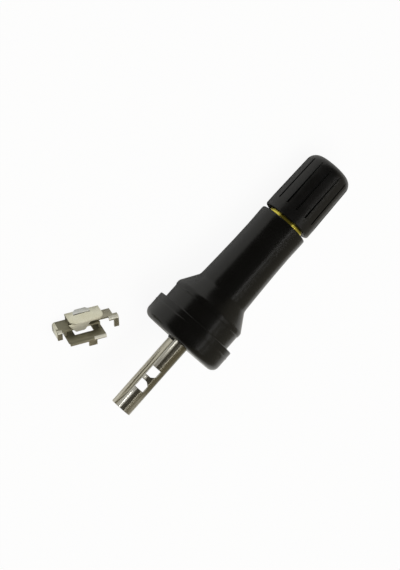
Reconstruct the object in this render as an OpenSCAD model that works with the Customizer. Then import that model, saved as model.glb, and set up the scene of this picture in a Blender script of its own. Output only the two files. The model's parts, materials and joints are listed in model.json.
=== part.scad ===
// Snap-in tyre valve stem that carries a wheel pressure sensor, with its cap,
// valve core and sensor tube, and the folded spring clip that locks the sensor
// on the tube. The valve lies on its side and the clip lies beside it.
// The modules are drawn upright: z = 0 is the flange face that seals on the
// rim, and +z runs along the axis to the cap.

/* [Rubber body] */
// Radius of the sealing flange
flange_r = 9.25; // [8.6:0.05:10.5]
// Thickness of the sealing flange
flange_h = 5.3; // [4:0.1:7]
// Radius of the rounded edge at the flange's tail side
flange_edge_r = 1.6; // [0.5:0.1:2.4]
// Distance of the moulding line below the sealing face
flash_drop = 1.5; // [1:0.1:2.2]
// How far the moulding line stands out
flash_h = 0.08; // [0.04:0.01:0.12]
// Radius of the neck that sits in the rim hole
neck_r = 8.05; // [7.2:0.05:8.1]
// Length of the neck, from the flange to the bulb
neck_len = 3.3; // [2.4:0.1:4.5]
// Radius of the bulb that snaps through the rim hole
bulb_r = 8.2; // [8.1:0.05:8.6]
// Length of the bulb's full radius
bulb_len = 0.6; // [0.3:0.1:1.2]
// Radius of the rounding from the bulb to the cone
bulb_edge_r = 1.1; // [0.6:0.1:1.4]
// Length of the cone from the bulb to the stem
cone_len = 3.9; // [3:0.1:6]
// Radius of the rubber stem where the cone ends
stem_root_r = 5.8; // [5.4:0.05:6.2]
// Width of the blend between the cone and the stem
root_blend_w = 0.15; // [0.05:0.05:0.3]
// Height of that blend
root_blend_h = 0.8; // [0.4:0.1:1.2]
// Radius of the rubber stem at its waist
stem_waist_r = 5.4; // [5.1:0.05:5.7]
// Distance of the waist below the rubber's mouth
waist_drop = 5; // [3:0.5:8]
// Radius of the rubber stem at its mouth
stem_mouth_r = 5.45; // [5.1:0.05:5.8]
// Height of the plain band at the mouth
mouth_band_h = 1.2; // [0.6:0.1:2]
// Chamfer at the mouth's edge
mouth_chamfer = 0.15; // [0.1:0.05:0.3]
// Length of the rubber from the sealing face to its mouth
rubber_len = 26.6; // [20:0.2:34]

/* [Brass stem] */
// Major radius of the cap thread
thread_r = 3.85; // [3.6:0.05:4.2]
// Length of the thread beyond the collar
thread_len = 10.8; // [9:0.1:14]
// Chamfer at the tip of the stem
tip_chamfer = 0.5; // [0.3:0.1:0.8]
// Radius of the collar that shows between rubber and cap
collar_r = 4.1; // [3.95:0.05:4.5]
// How far the collar stands out of the rubber
collar_show = 0.85; // [0.6:0.05:1.2]
// Length of the collar inside the rubber
collar_depth = 1.6; // [1:0.1:3]
// Radius of the stem inside the rubber
shank_r = 3.6; // [3.4:0.05:3.8]
// Radius at the bottom of the rubber's grip grooves
grip_groove_r = 3.2; // [3.0:0.05:3.3]
// Width of one grip groove
grip_groove_w = 1.4; // [1:0.1:1.8]
// Number of grip grooves
grip_grooves = 5; // [2:1:6]
// Radius of the foot that anchors the stem in the flange
foot_r = 4.6; // [4.2:0.1:5.2]
// Thickness of that foot
foot_h = 1.6; // [1:0.1:2.2]
// Rubber left between the foot and the flange's tail face
foot_cover = 1.4; // [1:0.1:2]
// Radius of the through passage for air
air_r = 1.25; // [1.2:0.05:1.4]

/* [Valve core] */
// Radius of the core's threaded plug
core_thread_r = 2.5; // [2.45:0.05:2.7]
// Running clearance round the core's plug and the pin
core_gap = 0.05; // [0.03:0.01:0.08]
// Length of the threaded plug
core_plug_len = 4.4; // [3.8:0.1:5]
// Depth of the plug's top below the stem's tip
core_plug_drop = 1.2; // [0.8:0.1:1.6]
// Width across the plug's driving flats
core_flats = 2.6; // [2.4:0.1:3]
// Height of the plug's driving flats
core_flats_h = 1.8; // [1.2:0.1:2.2]
// Radius of the barrel below the gasket
core_barrel_r = 1.8; // [1.7:0.05:1.9]
// Length of the barrel below the gasket
core_barrel_len = 6.4; // [5.8:0.1:7.5]
// Height of the tapered gasket
core_gasket_h = 1.5; // [1.2:0.1:2]
// Outer radius of the gasket at its wide end
core_gasket_r = 2.2; // [2.15:0.05:2.4]
// Radius of the barrel's neck under the gasket
core_neck_r = 1.6; // [1.55:0.05:1.65]
// Radius of the spring chamber in the plug and barrel
core_bore_r = 1.3; // [1.25:0.05:1.35]
// Thickness of the plug's roof under the driving flats
core_roof_h = 0.3; // [0.2:0.05:0.5]
// Thickness of the barrel's floor
core_floor_h = 0.8; // [0.6:0.1:1.2]
// Radius of the valve pin
core_pin_r = 0.5; // [0.45:0.05:0.6]
// Radius of the air holes round the pin
core_hole_r = 0.8; // [0.75:0.05:0.9]
// Radius of the pin's head
core_head_r = 0.7; // [0.6:0.05:0.7]
// Height of the pin's head
core_head_h = 0.8; // [0.5:0.1:1.2]
// Depth of the pin's head below the stem's tip
core_head_drop = 0.25; // [0.2:0.05:0.4]
// Radius of the pin's spring collar
core_collar_r = 1.15; // [1.1:0.05:1.2]
// Thickness of the pin's spring collar
core_collar_h = 0.5; // [0.4:0.1:0.8]
// Gap between the pin's collar and the plug's roof
core_collar_gap = 0.1; // [0.05:0.05:0.2]
// Radius of the seal cup
core_cup_r = 1.7; // [1.6:0.05:1.75]
// Height of the seal cup
core_cup_h = 1.5; // [1.2:0.1:2]
// Thickness of the cup's wall
core_cup_wall = 0.2; // [0.15:0.05:0.3]
// Thickness of the rubber seal in the cup
core_seal_h = 0.7; // [0.5:0.1:0.9]
// How far the seal stands out of the cup
core_seal_out = 0.15; // [0.1:0.05:0.25]
// Gap between the seal and the barrel's floor
core_seat_gap = 0.02; // [0.01:0.01:0.05]
// Air gap round the barrel and the cup
core_air_gap = 0.25; // [0.2:0.05:0.4]
// Room below the seal cup when the pin is pressed
chamber_room = 1.2; // [0.8:0.1:2]
// Travel of the pin when it is pressed
pin_travel = 1.2; // [0.8:0.1:1.4]
// Radius of the spring's wire
spring_wire_r = 0.12; // [0.1:0.01:0.14]
// Number of coils in the spring
spring_coils = 8; // [5:1:10]

/* [Sensor tube] */
// Outer radius of the rolled tube
tube_r = 2.25; // [2.1:0.05:2.4]
// Thickness of the rolled sheet
tube_wall = 0.4; // [0.3:0.05:0.45]
// Length of the tube outside the flange
tube_out = 17.3; // [15.5:0.1:22]
// Length of the tube pressed into the stem
tube_press = 5; // [4:0.5:7]
// Distance from the flange's tail face to the first window
window_from = 6.7; // [5:0.1:7.6]
// Length of each window along the tube
window_len = 2.2; // [1.8:0.1:2.5]
// Width of each window
window_w = 2.2; // [1.8:0.1:2.5]
// Width of the matching window in the far wall
far_window_w = 3; // [2.6:0.1:3.2]
// Width of the web between the windows, at its narrow end
web_w = 1.05; // [0.8:0.05:1.4]
// Width of the web's flare across the tube
flare_w = 1.2; // [0.8:0.1:1.4]
// Length of the web's flare along the tube
flare_len = 0.85; // [0.5:0.05:1.1]
// Power of the curve of the flare and of the cut corner
sweep_power = 1.5; // [1.1:0.1:2]
// Turn of the windows round the tube's axis
window_turn = -27; // [-45:1:0]
// Turn of the rolled seam round the tube's axis
seam_turn = -64; // [-90:1:-60]
// Width of the rolled seam
seam_w = 0.12; // [0.08:0.02:0.2]
// Depth of the rolled seam, down to the layer below
seam_d = 0.2; // [0.1:0.05:0.25]
// Length of the cut corner at the seam's free end
corner_len = 3.0; // [1.5:0.1:3.6]
// Width of the cut corner at the seam's free end
corner_w = 1.5; // [0.4:0.1:1.8]
// Width of the moulded pip at the tube's root
pip_w = 1.3; // [0.8:0.1:1.8]
// Height of that pip
pip_h = 0.35; // [0.2:0.05:0.5]
// How far that pip stands out of the tube's wall
pip_out = 0.25; // [0.1:0.05:0.5]
// Turn of that pip round the tube's axis
pip_turn = -84; // [-110:1:-70]

/* [Cap] */
// Radius of the cap at its skirt
cap_skirt_r = 5.4; // [5.2:0.05:5.6]
// Radius of the cap near its closed end
cap_end_r = 5.15; // [4.9:0.05:5.3]
// Length of the cap
cap_len = 14.6; // [13.6:0.1:17]
// Radius of the rounded edge at the closed end
cap_edge_r = 2.2; // [1:0.1:2.3]
// Rise of the slightly domed closed end
cap_dome_h = 0.25; // [0.1:0.05:0.5]
// Chamfer at the outer edge of the cap's mouth
cap_mouth_chamfer = 0.25; // [0.1:0.05:0.4]
// How much wider the cap's countersunk mouth is than its bore
cap_lead_w = 1.1; // [0.8:0.05:1.15]
// Depth of that countersink
cap_lead_h = 0.5; // [0.45:0.05:0.8]
// Height of the plain skirt band
cap_skirt_h = 2.5; // [1.5:0.1:4]
// Number of grooves round the cap
cap_grooves = 14; // [8:1:20]
// Width of one groove
cap_groove_w = 0.4; // [0.2:0.05:0.6]
// Depth of one groove
cap_groove_d = 0.28; // [0.15:0.01:0.4]
// Turn of the first groove round the axis
cap_groove_turn = -11; // [-20:1:20]
// How far the cap's mouth reaches over the collar
cap_lap = 0.3; // [0.1:0.05:0.3]
// Running clearance between the cap and the thread
cap_thread_gap = 0.06; // [0.04:0.01:0.1]
// Thickness of the seal inside the cap
cap_seal_h = 1.1; // [0.8:0.1:1.4]
// Radius of the seal inside the cap
cap_seal_r = 3.5; // [3:0.1:3.8]

/* [Retaining clip] */
// Thickness of the clip's spring sheet
clip_t = 0.35; // [0.25:0.05:0.4]
// Inner radius of the clip's bends
bend_r = 0.25; // [0.15:0.05:0.3]
// Length of the clip's strip, to the right arm's end
strip_len = 12.1; // [11.4:0.1:13]
// Width of the clip's strip
strip_w = 3.6; // [3.4:0.1:4]
// Drop of the turned-down left end
end_wall_h = 1.85; // [1.4:0.05:2.4]
// Width of the turned-down left end
end_wall_w = 3.1; // [2.6:0.1:3.3]
// Width of each locking hook
hook_w = 1.0; // [0.9:0.05:1.3]
// How far the right hook stands past the arm
hook_out = 0.9; // [0.6:0.05:1.2]
// Drop of the left locking hook
left_hook_h = 2; // [1.8:0.05:2.4]
// Drop of the right locking hook
right_hook_h = 2.5; // [1.8:0.05:3]
// Width of the narrow right arm
arm_w = 3.2; // [2.6:0.1:3.6]
// Length of the arm's turned-down front edge
arm_edge_len = 2.0; // [1.4:0.1:2.4]
// Drop of the arm's turned-down front edge
arm_edge_h = 0.75; // [0.6:0.05:1]
// Distance from the strip's left end to the bridge
bridge_from = 2.8; // [2.4:0.1:3]
// Length of the raised bridge
bridge_len = 7.1; // [6.8:0.1:7.6]
// Depth of the raised bridge in front of the strip's back edge
bridge_front = 3.8; // [3.6:0.05:4.2]
// Height of the bridge's top above the strip
bridge_rise = 1.15; // [1.1:0.05:1.6]
// Radius of the bridge's front corners
bridge_corner_r = 1.5; // [0.8:0.1:1.6]
// How far the bridge reaches back past the strip
bridge_back = 0.35; // [0.3:0.05:0.7]
// Width of the bridge's side walls
bridge_wall_w = 2; // [1.4:0.1:2.4]
// How far the narrow arm reaches in under the bridge
arm_lap = 1; // [0.6:0.1:1.4]
// Length of the tab that is folded over the bridge's back edge
fold_len = 3.6; // [3:0.1:4.4]
// Distance from the bridge's left side to that tab
fold_at = 1.5; // [1:0.1:2]
// Cut corners of that tab
fold_chamfer = 0.7; // [0.4:0.1:1]
// How far that tab reaches forward on the bridge
fold_front = 0.85; // [0.6:0.05:1.2]
// Drop of the tongue in front, from the bridge's top
tongue_h = 1.75; // [1.6:0.05:2.2]
// Width of the tongue at its lower end
tongue_w = 1.8; // [1.2:0.1:2.4]
// Cut corners at the tongue's lower end
tongue_chamfer = 0.3; // [0.1:0.1:0.5]
// Width of the tongue at its shoulders
tongue_shoulder_w = 3.5; // [3:0.1:4]
// Drop of those shoulders
tongue_shoulder_h = 0.7; // [0.5:0.1:1]
// Width of the tongue at its root
tongue_root_w = 4.5; // [4:0.1:5]
// Distance from the bridge's left side to the tongue's middle
tongue_at = 1.9; // [1.5:0.1:3.4]
// Drop of the lower frame's top below the strip's top
frame_drop = 1.3; // [1.1:0.05:1.5]
// Distance from the strip's left end to the lower frame
frame_from = 1.5; // [1.2:0.1:1.8]
// Length of the lower frame
frame_len = 7.7; // [7.4:0.1:8]
// Back edge of the lower frame, in front of the strip's back edge
frame_back = 1.2; // [1:0.1:1.4]
// Width of the frame's back rail
frame_rail_w = 0.6; // [0.5:0.1:0.9]
// Front edge of the lower frame, in front of the strip's back edge
frame_front = 6.3; // [6.2:0.1:7.4]
// Length of the window in the lower frame
frame_hole_len = 4.0; // [3.6:0.1:4.4]
// Distance from the frame's left end to that window
frame_hole_at = 1.9; // [1.5:0.1:2.3]
// Front edge of that window, in front of the strip's back edge
frame_hole_front = 4.0; // [3.8:0.1:4.4]
// Drop of the lower frame's turned-down front edge
frame_edge_h = 0.75; // [0.6:0.05:1]
// Width of the tab below that edge
frame_tab_w = 1.7; // [1.2:0.1:2.2]
// Drop of that tab below the lower frame
frame_tab_h = 1.85; // [1.4:0.05:2.2]
// Distance from the frame's left end to that tab
frame_tab_at = 4.0; // [3:0.1:5]
// Distance of the clip from the valve's axis, across the floor
clip_away = 18.4; // [16:0.1:24]
// Distance of the clip along the valve, from the rim face
clip_along = 20.1; // [16:0.1:24]
// Turn of the clip on the floor
clip_turn = 144; // [130:1:160]

/* [Hidden] */
$fn = 96;
eps = 0.01;
// How far a cut reaches past the surface it opens.
over = 1;

flange_z = -flange_h;
bulb_z = neck_len;
cone_z = bulb_z + bulb_len;
stem_z = cone_z + cone_len;
foot_z = flange_z + foot_cover;
collar_z = rubber_len - collar_depth;
collar_top = rubber_len + collar_show;
tip_z = collar_top + thread_len;

tube_top_z = flange_z + tube_press;
tube_end_z = flange_z - tube_out;
tube_bore_r = tube_r - tube_wall;

cap_z = collar_top - cap_lap;
cap_end_z = cap_z + cap_len;
cap_bore_r = thread_r + cap_thread_gap;
seal_z = tip_z + eps;
seal_pocket_r = cap_seal_r + cap_thread_gap;

plug_top = tip_z - core_plug_drop;
plug_z = plug_top - core_plug_len;
gasket_z = plug_z - core_gasket_h;
barrel_z = gasket_z - core_barrel_len;
floor_top = barrel_z + core_floor_h;
chamber_r = core_barrel_r + core_air_gap;
seat_r = core_gasket_r;
pin_top = tip_z - core_head_drop;
roof_z = plug_top - core_flats_h - core_roof_h;
pin_collar_z = roof_z - core_collar_gap - core_collar_h;
seal_top = barrel_z - core_seat_gap;
cup_z = seal_top - core_cup_h;
chamber_z = cup_z - pin_travel - chamber_room;
spring_r = core_collar_r - spring_wire_r;

// The flange's rim edge and the cap's round edge rest on the floor, and this
// is the slope of the axis that they give.
edge_arm = flange_r - cap_end_r + cap_edge_r;
edge_reach = cap_end_z - cap_edge_r;
slope = atan2(edge_arm, edge_reach) - asin(cap_edge_r / norm([edge_arm, edge_reach]));
axis_h = flange_r * cos(slope);

// The clip stands on the back of its turned-down end and of its bridge.
bend_out = bend_r + clip_t;
fold_top = bridge_rise + clip_t;
clip_lean = atan2(bridge_back, end_wall_h + fold_top);
clip_lift = end_wall_h * sin(clip_lean);
arm_from = bridge_from + bridge_len - arm_lap;
clip_near = bend_out * (sin(clip_turn) - cos(clip_turn) * cos(clip_lean) - 1);

// The origin lies under the middle of the whole, on the floor.
x_low = -(edge_reach * cos(slope) + (cap_end_r - cap_edge_r) * sin(slope) + cap_edge_r);
x_high = -tube_end_z * cos(slope) + tube_r * sin(slope);
y_high = flange_r + flash_h;
y_low = clip_near - clip_away;
origin_x = (x_low + x_high) / 2;
origin_y = (y_low + y_high) / 2;

// Puts a piece that is drawn upright on the lying valve's axis.
module on_axis() {
    translate([-origin_x, -origin_y, axis_h]) rotate([0, -90 - slope, 0]) children();
}

// Half of a section through the axis, as arcs of points.
function arc(cx, cz, r, from, to, steps = 8) = [
    for (i = [0 : steps]) let (a = from + (to - from) * i / steps) [cx + r * cos(a), cz + r * sin(a)]
];

// Curve that leaves the x axis smoothly and reaches [w, h].
function sweep(w, h, steps = 6) = [
    for (i = [0 : steps]) [w * i / steps, h * pow(i / steps, sweep_power)]
];

module rubber_body() {
    color("#1d1d1e") on_axis() difference() {
        union() {
            rotate_extrude() polygon(concat(
                [[0, flange_z]],
                arc(flange_r - flange_edge_r, flange_z + flange_edge_r, flange_edge_r, -90, 0),
                [
                    [flange_r, -flash_drop - flash_h],
                    [flange_r + flash_h, -flash_drop],
                    [flange_r, -flash_drop + flash_h],
                    [flange_r, 0],
                    [neck_r, 0],
                    [neck_r, bulb_z],
                    [bulb_r, bulb_z]
                ],
                arc(bulb_r - bulb_edge_r, cone_z, bulb_edge_r, 0, 35, 4),
                [
                    [stem_root_r + root_blend_w, stem_z],
                    [stem_root_r, stem_z + root_blend_h],
                    [stem_waist_r, rubber_len - waist_drop],
                    [stem_mouth_r, rubber_len - mouth_band_h],
                    [stem_mouth_r, rubber_len - mouth_chamfer],
                    [stem_mouth_r - mouth_chamfer, rubber_len],
                    [0, rubber_len]
                ]
            ));
            rotate([0, 0, pip_turn]) translate([0, -pip_w / 2, flange_z - pip_h])
                cube([tube_r + pip_out, pip_w, pip_h + flange_edge_r]);
        }
        stem_outline();
        translate([0, 0, flange_z - over]) cylinder(r = tube_r, h = over + foot_cover + eps);
    }
}

// Outside of the brass stem, without its passages.
module stem_outline() {
    groove_from = foot_z + foot_h;
    groove_pitch = (collar_z - groove_from) / (grip_grooves + 1);
    rotate_extrude() polygon(concat(
        [[0, foot_z], [foot_r, foot_z], [foot_r, groove_from], [shank_r, groove_from]],
        [
            for (i = [1 : grip_grooves], side = [-1, 1], step = [-1, 1])
                [side == step ? shank_r : grip_groove_r,
                 groove_from + i * groove_pitch + side * grip_groove_w / 2]
        ],
        [
            [shank_r, collar_z], [collar_r, collar_z], [collar_r, collar_top],
            [thread_r, collar_top], [thread_r, tip_z - tip_chamfer],
            [thread_r - tip_chamfer, tip_z], [0, tip_z]
        ]
    ));
}

module brass_stem() {
    color("#b9923f") on_axis() difference() {
        stem_outline();
        rotate_extrude() polygon([
            [0, foot_z - eps], [tube_r, foot_z - eps], [tube_r, tube_top_z],
            [air_r, tube_top_z], [air_r, chamber_z], [chamber_r, chamber_z],
            [chamber_r, gasket_z], [seat_r, plug_z], [core_thread_r + core_gap, plug_z],
            [core_thread_r + core_gap, tip_z + eps], [0, tip_z + eps]
        ]);
    }
}

// One window of the tube, flared towards the web that parts the two.
module window_outline() {
    difference() {
        translate([-window_w / 2, 0]) square([window_w, window_len]);
        translate([window_w / 2 - flare_w, 0]) polygon(concat(
            sweep(flare_w, flare_len),
            [[flare_w + eps, flare_len], [flare_w + eps, -eps], [0, -eps]]
        ));
    }
}

module sensor_tube() {
    first_end = flange_z - window_from - window_len;
    second_top = first_end - web_w;
    cut_h = tube_r + over;
    color("#a9a294") on_axis() difference() {
        translate([0, 0, tube_end_z]) cylinder(r = tube_r, h = tube_press + tube_out);
        translate([0, 0, tube_end_z - eps]) cylinder(r = tube_bore_r, h = tube_top_z - tube_end_z + 2 * eps);
        rotate([0, 0, window_turn]) {
            translate([cut_h, 0, first_end]) rotate([90, 0, -90])
                linear_extrude(height = cut_h) mirror([1, 0]) window_outline();
            translate([cut_h, 0, second_top]) rotate([90, 0, -90])
                linear_extrude(height = cut_h) mirror([1, 0]) mirror([0, 1]) window_outline();
            for (z = [first_end, second_top - window_len])
                translate([-cut_h, -far_window_w / 2, z]) cube([cut_h, far_window_w, window_len]);
        }
        rotate([0, 0, seam_turn]) difference() {
            translate([0, 0, tube_end_z - eps]) rotate([90, 0, 90]) linear_extrude(height = cut_h) {
                translate([-seam_w / 2, 0]) square([seam_w, tube_out + eps]);
                polygon(concat([[0, 0]], [for (p = sweep(corner_len, corner_w)) [-p[1], corner_len - p[0]]]));
            }
            translate([0, 0, tube_end_z - over]) cylinder(r = tube_r - seam_d, h = tube_out + 2 * over);
        }
    }
}

module cap_shell() {
    groove_bottom = cap_skirt_r - cap_groove_d;
    flat_r = cap_end_r - cap_edge_r;
    color("#26282b") on_axis() difference() {
        rotate_extrude() polygon(concat(
            [[0, cap_z], [cap_skirt_r - cap_mouth_chamfer, cap_z],
             [cap_skirt_r, cap_z + cap_mouth_chamfer], [cap_skirt_r, cap_z + cap_skirt_h]],
            arc(flat_r, cap_end_z - cap_edge_r, cap_edge_r, 0, 90),
            [for (t = [0.75 : -0.25 : 0]) [flat_r * t, cap_end_z + cap_dome_h * (1 - t * t)]]
        ));
        translate([0, 0, cap_z - eps]) cylinder(r = cap_bore_r, h = seal_z + eps - cap_z);
        translate([0, 0, cap_z - eps])
            cylinder(r1 = cap_bore_r + cap_lead_w, r2 = cap_bore_r, h = cap_lead_h);
        translate([0, 0, seal_z - eps]) cylinder(r = seal_pocket_r, h = cap_seal_h + 2 * eps);
        for (i = [0 : cap_grooves - 1])
            rotate([0, 0, cap_groove_turn + i * 360 / cap_grooves])
                translate([groove_bottom, -cap_groove_w / 2, cap_z + cap_skirt_h])
                    cube([over, cap_groove_w, cap_len]);
    }
}

module cap_seal() {
    color("#3a3a3a") on_axis() translate([0, 0, seal_z]) cylinder(r = cap_seal_r, h = cap_seal_h);
}

module core_plug() {
    wide = 2 * (core_thread_r + over);
    color("#c2a14e") on_axis() difference() {
        intersection() {
            translate([0, 0, plug_z]) cylinder(r = core_thread_r, h = core_plug_len);
            union() {
                translate([-wide / 2, -wide / 2, plug_z]) cube([wide, wide, core_plug_len - core_flats_h]);
                translate([-wide / 2, -core_flats / 2, plug_z]) cube([wide, core_flats, core_plug_len]);
            }
        }
        translate([0, 0, plug_z - eps]) cylinder(r = core_bore_r, h = roof_z - plug_z + eps);
        translate([0, 0, plug_z]) cylinder(r = core_hole_r, h = core_plug_len + eps);
    }
}

module core_barrel() {
    color("#c9aa58") on_axis() difference() {
        union() {
            translate([0, 0, barrel_z]) cylinder(r = core_barrel_r, h = gasket_z - barrel_z);
            translate([0, 0, gasket_z - eps]) cylinder(r = core_neck_r, h = core_gasket_h + eps);
        }
        translate([0, 0, floor_top]) cylinder(r = core_bore_r, h = plug_z - floor_top + eps);
        translate([0, 0, barrel_z - eps]) cylinder(r = core_hole_r, h = core_floor_h + 2 * eps);
    }
}

module core_gasket() {
    color("#d8d4cc") on_axis() difference() {
        translate([0, 0, gasket_z]) cylinder(r1 = chamber_r, r2 = seat_r, h = core_gasket_h);
        translate([0, 0, gasket_z - eps]) cylinder(r = core_neck_r, h = core_gasket_h + 2 * eps);
    }
}

module core_pin() {
    color("#c8c9c6") on_axis() union() {
        translate([0, 0, cup_z]) cylinder(r = core_pin_r, h = pin_top - cup_z);
        translate([0, 0, pin_top - core_head_h]) cylinder(r = core_head_r, h = core_head_h);
        translate([0, 0, pin_collar_z]) cylinder(r = core_collar_r, h = core_collar_h);
    }
}

module core_cup() {
    color("#c9aa58") on_axis() difference() {
        translate([0, 0, cup_z]) cylinder(r = core_cup_r, h = core_cup_h - core_seal_out);
        translate([0, 0, seal_top - core_seal_h]) cylinder(r = core_cup_r - core_cup_wall, h = core_seal_h);
        translate([0, 0, cup_z - eps]) cylinder(r = core_pin_r, h = core_cup_h);
    }
}

module core_cup_seal() {
    color("#303030") on_axis() difference() {
        translate([0, 0, seal_top - core_seal_h]) cylinder(r = core_cup_r - core_cup_wall, h = core_seal_h);
        translate([0, 0, cup_z]) cylinder(r = core_pin_r, h = core_cup_h + eps);
    }
}

// A coil of round wire: rings of points along a helix, joined ring to ring.
module core_spring() {
    from = floor_top + spring_wire_r;
    to = pin_collar_z - spring_wire_r;
    sides = 8;
    steps = 16;
    rings = spring_coils * steps;
    points = [
        for (i = [0 : rings], j = [0 : sides - 1])
            let (a = i * 360 / steps, b = j * 360 / sides,
                 r = spring_r + spring_wire_r * cos(b), z = from + (to - from) * i / rings)
            [r * cos(a), r * sin(a), z + spring_wire_r * sin(b)]
    ];
    walls = [
        for (i = [0 : rings - 1], j = [0 : sides - 1])
            let (k = (j + 1) % sides)
            [i * sides + j, i * sides + k, (i + 1) * sides + k, (i + 1) * sides + j]
    ];
    first = [for (j = [sides - 1 : -1 : 0]) j];
    last = [for (j = [0 : sides - 1]) rings * sides + j];
    color("#b8b8b8") on_axis() polyhedron(points, concat(walls, [first, last]));
}

// The clip is drawn with its strip flat: x runs along the strip, -y to the
// front and z up, and its back left corner is at the origin.
module on_floor() {
    translate([clip_along - origin_x, -origin_y - clip_away, clip_lift])
        rotate([0, 0, clip_turn]) rotate([clip_lean - 90, 0, 0]) children();
}

// Section of a sheet that runs in from the right, bends and goes down.
module turned_down(run, drop) {
    translate([0, -drop]) square([clip_t, drop - bend_out]);
    intersection() {
        translate([bend_out, -bend_out]) difference() {
            circle(r = bend_out, $fn = 48);
            circle(r = bend_r, $fn = 48);
        }
        translate([0, -bend_out]) square(bend_out);
    }
    translate([bend_out, -clip_t]) square([run - bend_out, clip_t]);
}

// A sheet along x whose left end is turned down, as wide as the section is long.
module end_turned_down(run, drop, width) {
    rotate([90, 0, 0]) linear_extrude(height = width) turned_down(run, drop);
}

// A sheet whose front edge is turned down, from the edge back.
module front_turned_down(run, drop, len) {
    rotate([90, 0, 90]) linear_extrude(height = len) turned_down(run, drop);
}

// A plate whose corners at the front are rounded.
module round_front_plate(len, back, front, r) {
    linear_extrude(height = clip_t) union() {
        translate([0, -front + r]) square([len, back + front - r]);
        translate([r, -front]) square([len - 2 * r, r + eps]);
        for (x = [r, len - r]) translate([x, -front + r]) circle(r = r);
    }
}

// Strip with its turned-down left end and hook, and its narrow right arm.
module clip_strip() {
    edge_end = strip_len + hook_out;
    end_turned_down(arm_from, end_wall_h, end_wall_w);
    translate([hook_w, -strip_w, -clip_t]) cube([arm_from - hook_w, strip_w - end_wall_w + eps, clip_t]);
    translate([0, -strip_w, 0]) front_turned_down(strip_w - end_wall_w + bend_out, left_hook_h, hook_w);
    translate([arm_from - eps, bend_out - arm_w, -clip_t])
        cube([strip_len - arm_from + eps, arm_w - bend_out, clip_t]);
    translate([edge_end - arm_edge_len, -arm_w, 0]) front_turned_down(2 * bend_out, arm_edge_h, arm_edge_len);
    translate([edge_end - hook_w, -arm_w, 0]) front_turned_down(2 * bend_out, right_hook_h, hook_w);
}

// Bridge over the strip, with the tab folded over its back and the tongue.
module clip_bridge() {
    fold_from = bridge_from + fold_at;
    tongue_side = [
        [tongue_root_w / 2, 0], [tongue_shoulder_w / 2, -tongue_shoulder_h],
        [tongue_w / 2 + tongue_chamfer, tongue_chamfer - tongue_h], [tongue_w / 2, -tongue_h]
    ];
    translate([bridge_from, 0, bridge_rise - clip_t])
        round_front_plate(bridge_len, bridge_back, bridge_front, bridge_corner_r);
    for (x = [bridge_from, bridge_from + bridge_len - clip_t])
        translate([x, -bridge_wall_w, -clip_t]) cube([clip_t, bridge_wall_w, bridge_rise + clip_t / 2]);
    translate([fold_from, bridge_back - clip_t, -clip_t])
        cube([fold_len, clip_t, bridge_rise + clip_t + eps]);
    translate([fold_from, -clip_t, -clip_t]) cube([fold_len, clip_t + bridge_back, clip_t]);
    translate([fold_from, bridge_back, bridge_rise - eps]) linear_extrude(height = clip_t + eps)
        polygon([
            [fold_chamfer, 0], [0, -fold_chamfer], [0, -fold_front - bridge_back],
            [fold_len, -fold_front - bridge_back], [fold_len, -fold_chamfer], [fold_len - fold_chamfer, 0]
        ]);
    translate([bridge_from + tongue_at, clip_t - bridge_front, bridge_rise - clip_t / 2])
        rotate([90, 0, 0]) linear_extrude(height = clip_t)
            for (side = [0, 1]) mirror([side, 0])
                polygon(concat([[-eps, 0]], tongue_side, [[-eps, -tongue_h]]));
}

// Lower frame, whose window slides over the tube.
module clip_frame() {
    difference() {
        union() {
            translate([frame_from, bend_out - frame_front, -frame_drop - clip_t])
                cube([frame_len, frame_front - frame_back - bend_out, clip_t]);
            translate([frame_from, -frame_front, -frame_drop])
                front_turned_down(2 * bend_out, frame_edge_h, frame_len);
        }
        translate([frame_from + frame_hole_at, -frame_hole_front, -frame_drop - 2 * clip_t])
            cube([frame_hole_len, frame_hole_front - frame_back - frame_rail_w, 3 * clip_t]);
    }
    translate([frame_from + frame_tab_at, -frame_front, -frame_drop - frame_tab_h])
        cube([frame_tab_w, clip_t, frame_tab_h - frame_edge_h + 2 * eps]);
    for (x = [frame_from, arm_from - clip_t])
        translate([x, -strip_w, -frame_drop - clip_t])
            cube([clip_t, strip_w - frame_back, frame_drop + clip_t / 2]);
}

module retaining_clip() {
    color("#8f8b7e") on_floor() union() {
        clip_strip();
        clip_bridge();
        clip_frame();
    }
}

rubber_body();
brass_stem();
sensor_tube();
cap_shell();
cap_seal();
core_plug();
core_barrel();
core_gasket();
core_pin();
core_cup();
core_cup_seal();
core_spring();
retaining_clip();
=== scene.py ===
import json
import math
import bmesh
import bpy
from mathutils import Euler, Matrix, Vector

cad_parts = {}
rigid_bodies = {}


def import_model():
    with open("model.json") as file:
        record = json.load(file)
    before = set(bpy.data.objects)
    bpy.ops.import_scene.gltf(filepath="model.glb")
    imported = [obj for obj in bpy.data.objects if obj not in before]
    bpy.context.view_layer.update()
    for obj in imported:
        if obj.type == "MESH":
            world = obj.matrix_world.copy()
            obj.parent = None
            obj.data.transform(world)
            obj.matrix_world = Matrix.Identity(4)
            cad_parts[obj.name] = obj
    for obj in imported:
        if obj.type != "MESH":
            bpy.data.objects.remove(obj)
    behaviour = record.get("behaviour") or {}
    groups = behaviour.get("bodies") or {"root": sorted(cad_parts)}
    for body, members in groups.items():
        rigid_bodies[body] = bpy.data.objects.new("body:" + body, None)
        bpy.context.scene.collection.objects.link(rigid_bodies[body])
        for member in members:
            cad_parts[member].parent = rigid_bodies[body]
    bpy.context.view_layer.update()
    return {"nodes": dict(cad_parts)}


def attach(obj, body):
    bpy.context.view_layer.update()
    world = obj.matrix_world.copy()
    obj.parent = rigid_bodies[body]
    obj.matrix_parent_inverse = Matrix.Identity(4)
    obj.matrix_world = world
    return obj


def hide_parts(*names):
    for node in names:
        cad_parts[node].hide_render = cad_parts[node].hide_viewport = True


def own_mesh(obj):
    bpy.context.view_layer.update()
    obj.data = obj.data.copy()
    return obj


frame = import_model()
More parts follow.
